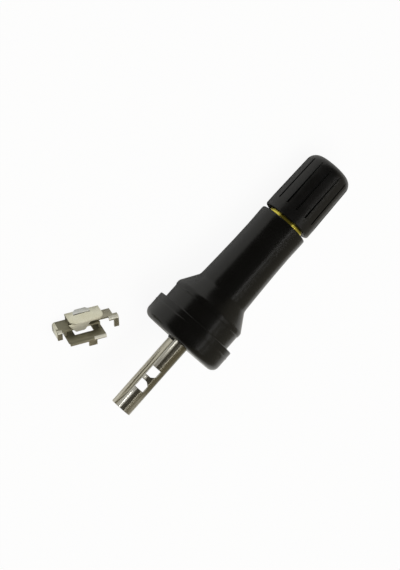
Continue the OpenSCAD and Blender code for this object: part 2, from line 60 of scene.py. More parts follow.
nodes = frame["nodes"]

# How the valve lies: its axis leans on the flange and on the cap's round edge.
# Lengths are in millimetres, here and in every dictionary but those of the studio
# and its lamps.
valve = {
    "origin": (9.56607, 4.41727, 9.20097),
    "slope": 5.90169,
    "threadPitch": 0.794,
    # Half the height of a thread's ridge at its foot and at its crest, and how
    # deep the foot is sunk in the wall
    "ridgeFoot": 0.33,
    "ridgeCrest": 0.05,
    "ridgeSunk": 0.05,
    "threadSteps": 64,
}
valveTurn = Euler((0, math.radians(-90 - valve["slope"]), 0))
valvePlace = Matrix.Translation(Vector(valve["origin"]) / 1000) @ valveTurn.to_matrix().to_4x4()
axis = valvePlace.to_3x3() @ Vector((0, 0, 1))

# Points of one ring or row lie this close, or this near where it leans or tapers,
# and no piece is as large as far.
close = 0.001
near = 0.01
far = 99

# Points this close are merged, in a new mesh and in a copied solid.
mergeNew = 0.0005
mergeCopied = 0.002

# How the clip lies: on its back, on the foot of its end wall and its folded tab.
clipRest = {
    "origin": (29.66607, -13.98273, 0.19222),
    "lean": 5.96437,
    "turn": 144,
}
clipTurn = Euler((math.radians(clipRest["lean"] - 90), 0, math.radians(clipRest["turn"])))
clipPlace = Matrix.Translation(Vector(clipRest["origin"]) / 1000) @ clipTurn.to_matrix().to_4x4()


def takeUp(piece):
    if bpy.context.object and bpy.context.object.mode != "OBJECT":
        bpy.ops.object.mode_set(mode="OBJECT")
    bpy.ops.object.select_all(action="DESELECT")
    if piece:
        piece.select_set(True)
        bpy.context.view_layer.objects.active = piece


def applyModifiers(piece):
    takeUp(piece)
    for modifier in list(piece.modifiers):
        bpy.ops.object.modifier_apply(modifier=modifier.name)


def selectPoints(piece, wanted):
    # Selects the points of the piece in edit mode that a test accepts.
    mesh = bmesh.from_edit_mesh(piece.data)
    for vert in mesh.verts:
        vert.select_set(False)
    for vert in mesh.verts:
        if wanted(vert.co):
            vert.select_set(True)
    mesh.select_flush_mode()
    bmesh.update_edit_mesh(piece.data)


def roundArc(x, z, radius, start, end, steps):
    turns = [math.radians(start + (end - start) * i / steps) for i in range(steps + 1)]
    return [(x + radius * math.cos(t), z + radius * math.sin(t)) for t in turns]


def turnOnLathe(name, outline, sides, closed):
    # A circle is extruded ring by ring along the outline, as a turned piece is drawn.
    takeUp(None)
    bpy.ops.mesh.primitive_circle_add(vertices=sides, radius=outline[0][0], location=(0, 0, 0))
    piece = bpy.context.object
    piece.name = name
    bpy.ops.object.mode_set(mode="EDIT")
    bpy.ops.mesh.select_all(action="SELECT")
    bpy.ops.transform.translate(value=(0, 0, outline[0][1]))
    steps = outline[1:] + (outline[:1] if closed else [])
    for (r0, z0), (r1, z1) in zip(outline, steps):
        bpy.ops.mesh.extrude_edges_move(TRANSFORM_OT_translate={"value": (0, 0, z1 - z0)})
        bpy.ops.transform.resize(value=(r1 / r0, r1 / r0, 1), center_override=(0, 0, z1))
    if not closed:
        bpy.ops.mesh.merge(type="CENTER")
        startZ = outline[0][1]
        selectPoints(piece, lambda co: co.xy.length < outline[0][0] + close and abs(co.z - startZ) < close)
        bpy.ops.mesh.merge(type="CENTER")
    bpy.ops.mesh.select_all(action="SELECT")
    bpy.ops.mesh.remove_doubles(threshold=mergeNew)
    bpy.ops.mesh.normals_make_consistent(inside=False)
    bpy.ops.object.mode_set(mode="OBJECT")
    return piece


def windThread(name, foot, crest, start, turns):
    # The ridge's section is wound up the axis, right-handed.
    wide, narrow = valve["ridgeFoot"], valve["ridgeCrest"]
    ridge = [(foot, start - wide), (crest, start - narrow), (crest, start + narrow), (foot, start + wide)]
    takeUp(None)
    bpy.ops.mesh.primitive_circle_add(vertices=len(ridge), radius=1, location=(0, 0, 0))
    piece = bpy.context.object
    piece.name = name
    for vert, (r, z) in zip(piece.data.vertices, ridge):
        vert.co = (r, 0, z)
    screw = piece.modifiers.new("Thread", "SCREW")
    screw.axis = "Z"
    screw.screw_offset = valve["threadPitch"]
    screw.iterations = turns
    screw.steps = valve["threadSteps"]
    screw.render_steps = valve["threadSteps"]
    applyModifiers(piece)
    bpy.ops.object.mode_set(mode="EDIT")
    bpy.ops.mesh.select_all(action="SELECT")
    bpy.ops.mesh.remove_doubles(threshold=mergeNew)
    bpy.ops.mesh.fill_holes(sides=0)
    bpy.ops.mesh.normals_make_consistent(inside=False)
    bpy.ops.object.mode_set(mode="OBJECT")
    return piece


def joinInto(piece, *others):
    takeUp(piece)
    for other in others:
        other.select_set(True)
    bpy.ops.object.join()


def layOnFloor(piece, place):
    # Millimetres become metres, and the place goes into the mesh.
    piece.matrix_world = place @ Matrix.Scale(0.001, 4)
    takeUp(piece)
    bpy.ops.object.transform_apply(location=True, rotation=True, scale=True)


def finishPiece(piece, node, body, material, sharpAngle=32):
    takeUp(piece)
    bpy.ops.object.shade_smooth_by_angle(angle=math.radians(sharpAngle))
    piece.data.materials.clear()
    piece.data.materials.append(material)
    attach(piece, body)
    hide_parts(node)
    print(piece.name, "done:", len(piece.data.polygons), "faces")


def copyNode(name, node):
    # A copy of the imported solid, with its loose triangles merged into clean faces.
    takeUp(None)
    piece = nodes[node].copy()
    piece.data = nodes[node].data.copy()
    piece.name = name
    piece.parent = None
    for key in list(piece.keys()):
        del piece[key]
    bpy.context.scene.collection.objects.link(piece)
    piece.matrix_world = Matrix.Identity(4)
    takeUp(piece)
    bpy.ops.object.mode_set(mode="EDIT")
    bpy.ops.mesh.select_all(action="SELECT")
    bpy.ops.mesh.remove_doubles(threshold=mergeCopied / 1000)
    bpy.ops.mesh.dissolve_limited(angle_limit=math.radians(1))
    bpy.ops.object.mode_set(mode="OBJECT")
    return piece


def linear(hexColour):
    # sRGB hex to the linear colour that the shaders take
    parts = [int(hexColour[i:i + 2], 16) / 255 for i in (1, 3, 5)]
    return [p / 12.92 if p <= 0.04045 else ((p + 0.055) / 1.055) ** 2.4 for p in parts] + [1]


def addNode(tree, kind, settings={}, inputs={}):
    # Settings are the node's own; inputs are values, or (node, output) to link.
    node = tree.nodes.new(kind)
    for key, value in settings.items():
        setattr(node, key, value)
    for key, value in inputs.items():
        if isinstance(value, tuple) and isinstance(value[0], bpy.types.Node):
            tree.links.new(value[0].outputs[value[1]], node.inputs[key])
        else:
            node.inputs[key].default_value = value
    return node


def newMaterial(name, shader):
    material = bpy.data.materials.new(name)
    material.use_nodes = True
    tree = material.node_tree
    surface = tree.nodes["Principled BSDF"]
    for key, value in shader.items():
        surface.inputs[key].default_value = value
    return material, tree, surface


def valveCoordinates(tree):
    # Object coordinates turned so that z runs along the valve's axis.
    place = addNode(tree, "ShaderNodeTexCoord")
    return addNode(tree, "ShaderNodeMapping", {"vector_type": "TEXTURE"}, {
        "Vector": (place, "Object"),
        "Location": Vector(valve["origin"]) / 1000,
        "Rotation": valveTurn,
    })


def noiseScale(size):
    # A noise texture's scale for spots of this many millimetres
    return 1000 / size


def ringScale(spacing):
    # A wave texture's scale for rings this many millimetres apart: at a scale of
    # 1 it has 10 / pi rings to the metre.
    return 1000 / spacing * math.pi / 10


# Most of a noise lies in this range.
noiseRange = {"From Min": 0.3, "From Max": 0.7}


def grey(value):
    return (value, value, value, 1)


def setStops(ramp, stops):
    # These take the place of the two stops of a new colour ramp.
    elements = ramp.color_ramp.elements
    elements.remove(elements[1])
    elements[0].position, elements[0].color = stops[0]
    for position, colour in stops[1:]:
        elements.new(position).color = colour


# EPDM rubber, moulded in a polished steel mould: satin black with a soft sheen
# and a faint grey bloom in patches of 4 mm. The mould's grain is drawn at 0.3 mm,
# coarser than the real one, so that it shows.
def makeMouldedEpdm():
    material, tree, surface = newMaterial("mouldedEpdm", {"IOR": 1.47})
    place = valveCoordinates(tree)
    bloom = addNode(tree, "ShaderNodeTexNoise", {}, {
        "Vector": (place, 0), "Scale": noiseScale(3.846), "Detail": 4,
    })
    grain = addNode(tree, "ShaderNodeTexNoise", {}, {
        "Vector": (place, 0), "Scale": noiseScale(0.303), "Detail": 3,
    })
    colour = addNode(tree, "ShaderNodeMix", {"data_type": "RGBA"}, {
        "Factor": (bloom, "Fac"), "A": linear("#060606"), "B": linear("#0c0c0c"),
    })
    rough = addNode(tree, "ShaderNodeMapRange", {}, {
        "Value": (bloom, "Fac"), **noiseRange, "To Min": 0.2, "To Max": 0.28,
    })
    bump = addNode(tree, "ShaderNodeBump", {}, {
        "Height": (grain, "Fac"), "Distance": 0.02 / 1000, "Strength": 0.35,
    })
    tree.links.new(colour.outputs["Result"], surface.inputs["Base Color"])
    tree.links.new(rough.outputs["Result"], surface.inputs["Roughness"])
    tree.links.new(bump.outputs["Normal"], surface.inputs["Normal"])
    return material


# Polypropylene, injection moulded: charcoal black, a little paler than the
# rubber. Its fine even texture is drawn at 0.2 mm, coarse enough to show.
def makeMouldedPolypropylene():
    material, tree, surface = newMaterial("mouldedPolypropylene", {"IOR": 1.49})
    place = valveCoordinates(tree)
    texture = addNode(tree, "ShaderNodeTexNoise", {}, {
        "Vector": (place, 0), "Scale": noiseScale(0.2), "Detail": 2,
    })
    haze = addNode(tree, "ShaderNodeTexNoise", {}, {
        "Vector": (place, 0), "Scale": noiseScale(3.333), "Detail": 3,
    })
    colour = addNode(tree, "ShaderNodeMix", {"data_type": "RGBA"}, {
        "Factor": (haze, "Fac"), "A": linear("#0a0a0a"), "B": linear("#121213"),
    })
    rough = addNode(tree, "ShaderNodeMapRange", {}, {
        "Value": (haze, "Fac"), **noiseRange, "To Min": 0.28, "To Max": 0.38,
    })
    bump = addNode(tree, "ShaderNodeBump", {}, {
        "Height": (texture, "Fac"), "Distance": 0.02 / 1000, "Strength": 0.4,
    })
    tree.links.new(colour.outputs["Result"], surface.inputs["Base Color"])
    tree.links.new(rough.outputs["Result"], surface.inputs["Roughness"])
    tree.links.new(bump.outputs["Normal"], surface.inputs["Normal"])
    return material


# Brass, turned on a lathe: warm yellow with a slightly darker tarnish in patches
# of 2 mm. The rings from the tool are drawn 0.12 mm apart, coarse enough to show.
def makeTurnedBrass():
    material, tree, surface = newMaterial("turnedBrass", {"Metallic": 1})
    place = valveCoordinates(tree)
    rings = addNode(tree, "ShaderNodeTexWave", {"bands_direction": "Z"}, {
        "Vector": (place, 0), "Scale": ringScale(0.12083), "Distortion": 1.5, "Detail": 2,
    })
    tarnish = addNode(tree, "ShaderNodeTexNoise", {}, {
        "Vector": (place, 0), "Scale": noiseScale(2), "Detail": 5,
    })
    colour = addNode(tree, "ShaderNodeMix", {"data_type": "RGBA"}, {
        "Factor": (tarnish, "Fac"), "A": linear("#f8ec70"), "B": linear("#d8c64e"),
    })
    rough = addNode(tree, "ShaderNodeMapRange", {}, {
        "Value": (tarnish, "Fac"), **noiseRange, "To Min": 0.18, "To Max": 0.32,
    })
    bump = addNode(tree, "ShaderNodeBump", {}, {
        "Height": (rings, "Fac"), "Distance": 0.004 / 1000, "Strength": 0.2,
    })
    tree.links.new(colour.outputs["Result"], surface.inputs["Base Color"])
    tree.links.new(rough.outputs["Result"], surface.inputs["Roughness"])
    tree.links.new(bump.outputs["Normal"], surface.inputs["Normal"])
    return material


# Angles round the tube, in degrees, with the plating's tone, which is painted reflection and shade, and how
# matt it is.
plating = {
    "paintedTones": (
        (-180, "#b5b1a3"), (-128, "#eeece2"), (-100, "#eeebe0"), (-80, "#d8d5c8"),
        (-66, "#cfccbd"), (-64, "#eae8de"), (-59.6, "#e8e6dc"), (-53.5, "#d0cec3"),
        (-47.5, "#fbfaf4"), (-42, "#e0ded5"), (-36, "#c6c3b8"), (-16, "#c6c3b8"),
        (0, "#a19d8c"), (22, "#a8a493"), (30, "#7c796a"), (56, "#7c796a"), (75, "#b5b1a3"),
    ),
    "matt": (
        (-65, 0), (-63, 0.8), (-59.6, 1), (-53.5, 0.8), (-50.5, 0.6), (-47.5, 0.3),
        (-44.5, 0.6), (-41, 0.6), (-36, 0.08), (-10, 0.06), (0, 0),
    ),
    # Metallic and roughness where it is bright and where it is wholly matt
    "metallic": (1, 0.2),
    "roughness": (0.18, 0.45),
    "streakTint": "#bab6aa",
    # The scuffed stretch past the windows: how much by angle, its ends along the
    # tube, its tone and how matt it is
    "scuff": ((-16, 0), (16, 0.8), (40, 1), (70, 1), (90, 0)),
    "scuffRows": (-16.5, -19),
    "scuffTone": "#c4c1b6",
    "scuffMatt": 0.55,
}


# Nickel-plated steel sheet, drawn and rolled: warm silver with long streaks
# along the tube, 0.3 mm wide. The rolls have left it matt in a strip beside the
# seam, and it is scuffed dull past the windows. Its tone round the tube is
# painted reflection and shade: paler from -128 to -80 degrees, painted highlight
# lines beside the seam and at -47.5 degrees, and darker from 0 to 56 degrees.
def makePlatedSheet():
    s = plating
    material, tree, surface = newMaterial("platedSheet", {})
    place = valveCoordinates(tree)
    along = addNode(tree, "ShaderNodeMapping", {}, {"Vector": (place, 0), "Scale": (1, 1, 0.03)})
    streaks = addNode(tree, "ShaderNodeTexNoise", {}, {
        "Vector": (along, 0), "Scale": noiseScale(0.3448), "Detail": 3,
    })
    parts = addNode(tree, "ShaderNodeSeparateXYZ", {}, {"Vector": (place, 0)})
    turn = addNode(tree, "ShaderNodeMath", {"operation": "ARCTAN2"}, {0: (parts, "Y"), 1: (parts, "X")})
    around = addNode(tree, "ShaderNodeMapRange", {}, {
        "Value": (turn, 0), "From Min": math.radians(-180), "From Max": math.radians(180),
    })
    ramps = {}
    for name, asColour in (("paintedTones", linear), ("matt", grey), ("scuff", grey)):
        ramps[name] = addNode(tree, "ShaderNodeValToRGB", {}, {"Fac": (around, 0)})
        setStops(ramps[name], [((angle + 180) / 360, asColour(value)) for angle, value in s[name]])
    start, end = s["scuffRows"]
    past = addNode(tree, "ShaderNodeMapRange", {}, {
        "Value": (parts, "Z"), "From Min": start / 1000, "From Max": end / 1000,
    })
    scuffed = addNode(tree, "ShaderNodeMath", {"operation": "MULTIPLY"}, {
        0: (ramps["scuff"], 0), 1: (past, 0),
    })
    dull = addNode(tree, "ShaderNodeMath", {"operation": "MULTIPLY_ADD"}, {
        0: (scuffed, 0), 1: s["scuffMatt"], 2: (ramps["matt"], 0),
    })
    # The tone round the tube is painted reflection and shade; the scuff's tone is mixed in past the
    # windows.
    toneWithPaintedLight = addNode(tree, "ShaderNodeMix", {"data_type": "RGBA"}, {
        "Factor": (scuffed, 0), "A": (ramps["paintedTones"], "Color"), "B": linear(s["scuffTone"]),
    })
    strength = addNode(tree, "ShaderNodeMapRange", {}, {"Value": (streaks, "Fac"), **noiseRange})
    colour = addNode(tree, "ShaderNodeMix", {"data_type": "RGBA", "blend_type": "MULTIPLY"}, {
        "Factor": (strength, 0), "A": (toneWithPaintedLight, "Result"), "B": linear(s["streakTint"]),
    })
    tree.links.new(colour.outputs["Result"], surface.inputs["Base Color"])
    for socket, (bright, whollyMatt) in (("Metallic", s["metallic"]), ("Roughness", s["roughness"])):
        finish = addNode(tree, "ShaderNodeMapRange", {}, {
            "Value": (dull, 0), "To Min": bright, "To Max": whollyMatt,
        })
        tree.links.new(finish.outputs["Result"], surface.inputs[socket])
    bump = addNode(tree, "ShaderNodeBump", {}, {
        "Height": (streaks, "Fac"), "Distance": 0.006 / 1000, "Strength": 0.15,
    })
    tree.links.new(bump.outputs["Normal"], surface.inputs["Normal"])
    return material


# The strip's finish by how much painted light a face takes: tone, which is painted highlight and shade,
# metallic and roughness
strip = {
    "finishes": (
        (0, "#9a9783", 0.45, 0.42),
        (0.4, "#b0ad9f", 0.9, 0.25),
        (0.5, "#c6c3b5", 0.95, 0.3),
        (0.7, "#ecebde", 0.5, 0.35),
        (0.85, "#f6f6e6", 1, 0.18),
        (0.92, "#f4f4ea", 0.15, 0.4),
        (1, "#e6eaed", 1, 0.2),
    ),
    "stainTint": "#e2dccb",
}


# Spring steel strip, blanked, folded and tempered. Its tone is painted by face as
# light and shade: dark olive as painted shade and dark reflection on the strip and
# frame, and warm pale grey as painted highlight on the bridge, end wall, tab and
# bends. Its rolling lines are drawn 0.17 mm apart, coarse enough to show. The
# sheet's own attribute says how much painted light each face takes.
def makeSpringSheet():
    s = strip
    material, tree, surface = newMaterial("springSheet", {})
    place = addNode(tree, "ShaderNodeTexCoord")
    rubbed = addNode(tree, "ShaderNodeAttribute", {"attribute_name": "rubbed"})
    shares, colours, metals, roughs = zip(*s["finishes"])
    # The tone of each face is painted highlight and shade.
    toneWithPaintedLight = addNode(tree, "ShaderNodeValToRGB", {}, {"Fac": (rubbed, "Fac")})
    setStops(toneWithPaintedLight, list(zip(shares, map(linear, colours))))
    stain = addNode(tree, "ShaderNodeTexNoise", {}, {
        "Vector": (place, "Object"), "Scale": noiseScale(2.381), "Detail": 3,
    })
    colour = addNode(tree, "ShaderNodeMix", {"data_type": "RGBA", "blend_type": "MULTIPLY"}, {
        "Factor": (stain, "Fac"), "A": (toneWithPaintedLight, "Color"), "B": linear(s["stainTint"]),
    })
    tree.links.new(colour.outputs["Result"], surface.inputs["Base Color"])
    for socket, values in (("Metallic", metals), ("Roughness", roughs)):
        finish = addNode(tree, "ShaderNodeValToRGB", {}, {"Fac": (rubbed, "Fac")})
        setStops(finish, list(zip(shares, map(grey, values))))
        tree.links.new(finish.outputs["Color"], surface.inputs[socket])
    along = addNode(tree, "ShaderNodeMapping", {"vector_type": "TEXTURE"}, {
        "Vector": (place, "Object"), "Scale": (18, 1, 1),
        "Rotation": (0, 0, math.radians(clipRest["turn"])),
    })
    lines = addNode(tree, "ShaderNodeTexNoise", {}, {
        "Vector": (along, 0), "Scale": noiseScale(0.16667), "Detail": 3,
    })
    bump = addNode(tree, "ShaderNodeBump", {}, {
        "Height": (lines, "Fac"), "Distance": 0.004 / 1000, "Strength": 0.2,
    })
    tree.links.new(bump.outputs["Normal"], surface.inputs["Normal"])
    return material


# Steel pin, ground bright: cool silver, with its grinding rings drawn 0.1 mm apart.
def makeGroundSteel():
    material, tree, surface = newMaterial("groundSteel", {"Metallic": 1, "Roughness": 0.2})
    place = valveCoordinates(tree)
    rings = addNode(tree, "ShaderNodeTexWave", {"bands_direction": "Z"}, {
        "Vector": (place, 0), "Scale": ringScale(0.10472), "Distortion": 1, "Detail": 2,
    })
    colour = addNode(tree, "ShaderNodeMix", {"data_type": "RGBA"}, {
        "Factor": (rings, "Fac"), "A": linear("#d6d6d2"), "B": linear("#a9aaa6"),
    })
    bump = addNode(tree, "ShaderNodeBump", {}, {
        "Height": (rings, "Fac"), "Distance": 0.01 / 1000, "Strength": 0.2,
    })
    tree.links.new(colour.outputs["Result"], surface.inputs["Base Color"])
    tree.links.new(bump.outputs["Normal"], surface.inputs["Normal"])
    return material


# PTFE ring, machined: waxy white with a faint grey mottle of about 1 mm.
def makeWhitePtfe():
    material, tree, surface = newMaterial("whitePtfe", {"IOR": 1.38, "Roughness": 0.4})
    place = valveCoordinates(tree)
    mottle = addNode(tree, "ShaderNodeTexNoise", {}, {
        "Vector": (place, 0), "Scale": noiseScale(1.111), "Detail": 3,
    })
    colour = addNode(tree, "ShaderNodeMix", {"data_type": "RGBA"}, {
        "Factor": (mottle, "Fac"), "A": linear("#e8e5de"), "B": linear("#d3cfc6"),
    })
    tree.links.new(colour.outputs["Result"], surface.inputs["Base Color"])
    return material


# Nitrile rubber, moulded: matt dark grey with a fine grain of 0.2 mm.
def makeMattNitrile():
    material, tree, surface = newMaterial("mattNitrile", {"IOR": 1.52, "Roughness": 0.6})
    place = valveCoordinates(tree)
    grain = addNode(tree, "ShaderNodeTexNoise", {}, {
        "Vector": (place, 0), "Scale": noiseScale(0.2), "Detail": 2,
    })
    colour = addNode(tree, "ShaderNodeMix", {"data_type": "RGBA"}, {
        "Factor": (grain, "Fac"), "A": linear("#262626"), "B": linear("#333333"),
    })
    bump = addNode(tree, "ShaderNodeBump", {}, {
        "Height": (grain, "Fac"), "Distance": 0.02 / 1000, "Strength": 0.4,
    })
    tree.links.new(colour.outputs["Result"], surface.inputs["Base Color"])
    tree.links.new(bump.outputs["Normal"], surface.inputs["Normal"])
    return material


mouldedEpdm = makeMouldedEpdm()
mouldedPolypropylene = makeMouldedPolypropylene()
turnedBrass = makeTurnedBrass()
platedSheet = makePlatedSheet()
springSheet = makeSpringSheet()
groundSteel = makeGroundSteel()
whitePtfe = makeWhitePtfe()
mattNitrile = makeMattNitrile()
print("materials ready")

rubber = {
    # Gap in the mesh between the rubber and the brass or the tube that fill it
    "bondGap": 0.01,
    "faceRing": 5,
    "flangeRadius": 9.25,
    "flangeFace": -5.3,
    "flangeRound": 1.6,
    "rimEdgeRound": 0.15,
    # Moulding line, with its section in shares of its height
    "flashAt": -1.5,
    "flashHeight": 0.08,
    "flashSection": ((0, -2), (0.7, -1), (1, 0), (0.7, 1), (0, 2)),
    "neckRadius": 8.05,
    "neckEnd": 3.3,
    "bulbRadius": 8.2,
    "bulbStep": 0.1,
    "bulbEnd": 3.9,
    "bulbRound": 1.1,
    "bulbRoundTo": 35,
    # The cone's end runs out in the stem: past its radius, and after its place
    "rootRadius": 5.8,
    "rootAt": 7.8,
    "rootFillet": ((0.15, 0), (0.05, 0.35), (0, 0.8)),
    # Radius and place of each stretch of the stem
    "stemTaper": ((5.62, 13), (5.47, 17.5), (5.4, 21.6), (5.41, 23.5), (5.45, 25.4)),
    "mouthRadius": 5.45,
    "mouth": 26.6,
    "mouthRound": 0.3,
    "sides": 192,
    "pipTurn": -84,
    "pipSize": (0.5, 1.4, 0.7),
    "pipMiddle": (2.48, -5.4),
    "pipRound": 0.1,
}


def makeRubberBody():
    s = rubber
    gap, radius, face = s["bondGap"], s["flangeRadius"], s["flangeFace"]
    outline = [(tube["radius"] + gap, face), (s["faceRing"], face)]
    outline += roundArc(radius - s["flangeRound"], face + s["flangeRound"], s["flangeRound"], -90, 0, 14)
    height = s["flashHeight"]
    outline += [(radius + height * out, s["flashAt"] + height * up) for out, up in s["flashSection"]]
    edge = s["rimEdgeRound"]
    outline += roundArc(radius - edge, -edge, edge, 0, 90, 4)
    outline += roundArc(s["neckRadius"] + edge, edge, edge, 270, 180, 4)
    neckEnd, step = s["neckEnd"], s["bulbStep"]
    outline += [(s["neckRadius"], neckEnd - step), (s["bulbRadius"] - step / 2, neckEnd)]
    outline += [(s["bulbRadius"], neckEnd + step)]
    bulge = s["bulbRound"]
    outline += roundArc(s["bulbRadius"] - bulge, s["bulbEnd"], bulge, 0, s["bulbRoundTo"], 7)
    outline += [(s["rootRadius"] + past, s["rootAt"] + after) for past, after in s["rootFillet"]]
    outline += s["stemTaper"]
    lip = s["mouthRound"]
    outline += roundArc(s["mouthRadius"] - lip, s["mouth"] - lip, lip, 0, 90, 4)
    # The hollow that the brass stem fills
    collar, shank, foot = stem["collarRadius"] + gap, stem["shankRadius"] + gap, stem["footRadius"] + gap
    outline += [(collar, s["mouth"]), (collar, stem["collarFrom"]), (shank, stem["collarFrom"])]
    outline += [(shank, stem["footTo"]), (foot, stem["footTo"]), (foot, stem["footFrom"])]
    outline += [(tube["radius"] + gap, stem["footFrom"])]
    piece = turnOnLathe("rubberBody", outline, s["sides"], True)

    # A small moulded pip stands on the flange beside the tube's root.
    turn = math.radians(s["pipTurn"])
    out, z = s["pipMiddle"]
    place = (out * math.cos(turn), out * math.sin(turn), z)
    bpy.ops.mesh.primitive_cube_add(size=1, location=place, rotation=(0, 0, turn), scale=s["pipSize"])
    pip = bpy.context.object
    bpy.ops.object.transform_apply(location=True, rotation=True, scale=True)
    bpy.ops.object.mode_set(mode="EDIT")
    bpy.ops.mesh.select_all(action="SELECT")
    bpy.ops.mesh.bevel(offset=s["pipRound"], segments=3, affect="EDGES")
    bpy.ops.object.mode_set(mode="OBJECT")
    joinInto(piece, pip)
    layOnFloor(piece, valvePlace)
    finishPiece(piece, "rubber_body", "valve", mouldedEpdm)


stem = {
    "footRadius": 4.6,
    "footFrom": -3.9,
    "footTo": -2.3,
    "shankRadius": 3.6,
    # Grooves in the shank that the rubber grips
    "gripRadius": 3.2,
    "gripHalf": 0.7,
    "grips": 5,
    "collarRadius": 4.1,
    "collarFrom": 25,
    "collarTop": 27.45,
    "collarEdge": 0.08,
    "threadRoot": 3.42,
    "threadCrest": 3.85,
    "threadFrom": 27.95,
    "threadTurns": 12,
    "rootFillet": 0.1,
    "tip": 38.25,
    "tipEdge": 0.15,
    # The bore from the tip down: mouth, the core's plug, its chamber, air passage
    "boreMouth": 2.7,
    "plugRadius": 2.55,
    "plugFrom": 32.65,
    "chamberRadius": 2.05,
    "chamberTo": 31.15,
    "chamberFrom": 20.85,
    "passageRadius": 1.25,
    "sides": 128,
}


def makeBrassStem():
    s = stem
    foot, shank, collar, top = s["footRadius"], s["shankRadius"], s["collarRadius"], s["collarTop"]
    outline = [(tube["radius"], s["footFrom"]), (foot, s["footFrom"])]
    outline += [(foot, s["footTo"]), (shank, s["footTo"])]
    pitch = (s["collarFrom"] - s["footTo"]) / (s["grips"] + 1)
    for i in range(s["grips"]):
        low = s["footTo"] + pitch * (i + 1) - s["gripHalf"]
        high = low + 2 * s["gripHalf"]
        outline += [(shank, low), (s["gripRadius"], low), (s["gripRadius"], high), (shank, high)]
    outline += [(shank, s["collarFrom"]), (collar, s["collarFrom"]), (collar, top - s["collarEdge"])]
    outline += [(collar - s["collarEdge"], top), (s["threadRoot"] + s["rootFillet"], top)]
    outline += [(s["threadRoot"], top + s["rootFillet"]), (s["threadRoot"], s["tip"] - s["tipEdge"])]
    outline += [(s["threadRoot"] - s["tipEdge"], s["tip"]), (s["boreMouth"], s["tip"])]
    outline += [(s["plugRadius"], s["tip"] - s["tipEdge"]), (s["plugRadius"], s["plugFrom"])]
    outline += [(s["chamberRadius"], s["chamberTo"]), (s["chamberRadius"], s["chamberFrom"])]
    outline += [(s["passageRadius"], s["chamberFrom"]), (s["passageRadius"], tube["top"])]
    outline += [(tube["radius"], tube["top"])]
    piece = turnOnLathe("brassStem", outline, s["sides"], True)
    foot = s["threadRoot"] - valve["ridgeSunk"]
    thread = windThread("stemThread", foot, s["threadCrest"], s["threadFrom"], s["threadTurns"])
    joinInto(piece, thread)
    layOnFloor(piece, valvePlace)
    finishPiece(piece, "brass_stem", "valve", turnedBrass, sharpAngle=25)


cap = {
    "mouth": 27.3,
    "end": 41.75,
    "skirtRadius": 5.4,
    "endRadius": 5.15,
    "edgeRound": 2.2,
    "dome": 0.25,
    "skirtTop": 29.65,
    "boreRadius": 3.91,
    "mouthRadius": 4.9,
    "mouthDeep": 0.5,
    "lipRound": 0.45,
    "sealPocket": 3.56,
    "pocketFrom": 38.26,
    "ceiling": 39.38,
    # Radius of the ring that is merged to a pole, at the ceiling and on the dome
    "poleRadius": 0.05,
    "domeRings": (0.8, 0.6, 0.4, 0.2),
    # Grooves, with the columns of the mesh that each takes
    "grooves": 14,
    "grooveTurn": -11,
    "grooveBottom": 4.98,
    "grooveRunIn": 0.06,
    "grooveRings": 12,
    "grooveColumns": 3,
    "columnsPerGroove": 24,
    "threadCrest": 3.5,
    "threadTurns": 11,
}


def makeCapShell():
    s = cap
    edge, lip, pole = s["edgeRound"], s["lipRound"], s["poleRadius"]
    flat = s["endRadius"] - edge
    outline = [(pole, s["ceiling"]), (s["sealPocket"], s["ceiling"]), (s["sealPocket"], s["pocketFrom"])]
    outline += [(s["boreRadius"], s["pocketFrom"]), (s["boreRadius"], s["mouth"] + s["mouthDeep"])]
    outline += [(s["mouthRadius"], s["mouth"])]
    outline += roundArc(s["skirtRadius"] - lip, s["mouth"] + lip, lip, -90, 0, 8)
    outline += [(s["skirtRadius"], s["skirtTop"]), (s["skirtRadius"], s["skirtTop"] + s["grooveRunIn"])]
    straight = s["end"] - edge - s["skirtTop"]
    for i in range(1, s["grooveRings"]):
        part = i / s["grooveRings"]
        radius = s["skirtRadius"] + (s["endRadius"] - s["skirtRadius"]) * part
        outline.append((radius, s["skirtTop"] + straight * part))
    outline += roundArc(flat, s["end"] - edge, edge, 0, 90, 20)
    outline += [(flat * t, s["end"] + s["dome"] * (1 - t * t)) for t in s["domeRings"]]
    outline += [(pole, s["end"] + s["dome"])]
    sides = s["grooves"] * s["columnsPerGroove"]
    piece = turnOnLathe("capShell", outline, sides, False)

    # The grooves are pressed in, ring by ring, down to one radius.
    bpy.ops.object.mode_set(mode="EDIT")
    step = math.radians(360 / s["grooves"])
    halfGroove = math.radians(360 / sides) * s["grooveColumns"] / 2

    def inGroove(co, radius, z):
        if abs(co.z - z) > close or abs(co.xy.length - radius) > near:
            return False
        turn = math.atan2(co.y, co.x) % step
        return turn < halfGroove or turn > step - halfGroove

    for radius, z in outline:
        if radius > s["grooveBottom"] and z > s["skirtTop"] + near:
            selectPoints(piece, lambda co: inGroove(co, radius, z))
            press = s["grooveBottom"] / radius
            bpy.ops.transform.resize(value=(press, press, 1), center_override=(0, 0, z))
    bpy.ops.mesh.select_all(action="SELECT")
    turn = -math.radians(s["grooveTurn"])
    bpy.ops.transform.rotate(value=turn, orient_axis="Z", center_override=(0, 0, 0))
    bpy.ops.object.mode_set(mode="OBJECT")

    # The cap's ridges run half a pitch from the stem's.
    start = stem["threadFrom"] + valve["threadPitch"] / 2
    foot = s["boreRadius"] + valve["ridgeSunk"]
    thread = windThread("capThread", foot, s["threadCrest"], start, s["threadTurns"])
    joinInto(piece, thread)
    layOnFloor(piece, valvePlace)
    finishPiece(piece, "cap_shell", "cap_shell", mouldedPolypropylene, sharpAngle=28)


